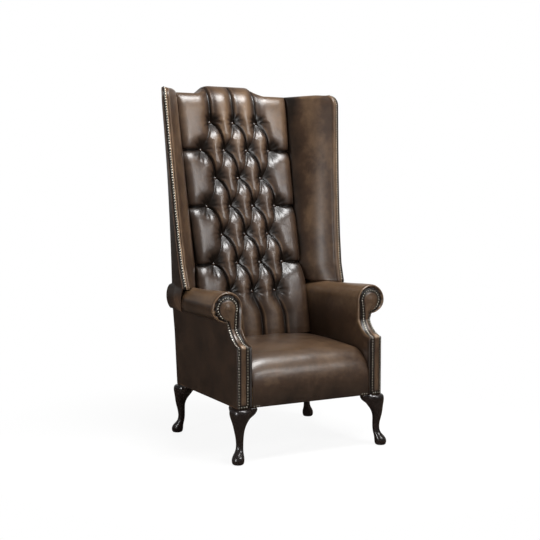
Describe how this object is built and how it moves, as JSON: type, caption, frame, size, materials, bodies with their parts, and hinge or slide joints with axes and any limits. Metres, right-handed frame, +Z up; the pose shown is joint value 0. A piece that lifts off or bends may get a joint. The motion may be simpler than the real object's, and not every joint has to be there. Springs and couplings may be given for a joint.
{
  "type": "high back wingback chair",
  "caption": "Tall wing chair with a deep buttoned leather back, scroll arms, studded edges, a sprung seat and carved cabriole legs.",
  "frame": {"origin": "on the floor, under the middle of the bounding box", "axes": "+Z up, +Y towards the back of the chair, +X to the right seen from the front"},
  "size_m": [0.8558, 0.8598, 1.526],
  "materials": {
    "leather": "hand rubbed antique brown, satin",
    "dark_leather": "dark antique brown, satin",
    "button_leather": "antique brown, satin",
    "stud_brass": "aged",
    "mahogany": "dark stained, gloss lacquer",
    "beech": "planed, unfinished",
    "plywood": "unfinished",
    "padding": "felted fibre over foam",
    "webbing": "jute weave",
    "hessian": "coarse jute weave",
    "base_cloth": "black bottom cloth",
    "spring_steel": "bright wire",
    "clip_steel": "zinc plated"
  },
  "bodies": {
    "root": {"seat_rail_front": "beech", "seat_rail_rear": "beech", "corner_blocks": "beech", "leg_dowels": "beech", "back_top_rail": "beech", "back_bottom_rail": "beech", "back_webbing": "webbing", "seat_springs": "spring_steel", "spring_clips": "clip_steel", "spring_cover": "hessian", "dust_cover": "base_cloth", "seat_foam": "padding", "seat_cover": "leather", "back_foam": "padding", "inside_back_cover": "leather", "back_buttons": "button_leather", "crest_roll": "leather", "outside_back_cover": "dark_leather", "leg_front_left": "mahogany", "leg_front_right": "mahogany", "leg_rear_left": "mahogany", "leg_rear_right": "mahogany", "seat_rail_left": "beech", "seat_rail_right": "beech", "back_post_left": "beech", "back_post_right": "beech", "arm_post_left": "beech", "arm_post_right": "beech", "arm_rail_left": "beech", "arm_rail_right": "beech", "arm_tack_rail_left": "beech", "arm_tack_rail_right": "beech", "scroll_block_left": "beech", "scroll_block_right": "beech", "wing_board_left": "plywood", "wing_board_right": "plywood", "arm_pad_left": "padding", "arm_pad_right": "padding", "wing_pad_left": "padding", "wing_pad_right": "padding", "inside_arm_cover_left": "leather", "inside_arm_cover_right": "leather", "outside_arm_cover_left": "dark_leather", "outside_arm_cover_right": "dark_leather", "arm_facing_left": "leather", "arm_facing_right": "leather", "inside_wing_cover_left": "leather", "inside_wing_cover_right": "leather", "outside_wing_cover_left": "dark_leather", "outside_wing_cover_right": "dark_leather", "wing_facing_left": "leather", "wing_facing_right": "leather", "arm_studs_left": "stud_brass", "arm_studs_right": "stud_brass", "wing_studs_left": "stud_brass", "wing_studs_right": "stud_brass"}
  },
  "joints": []
}
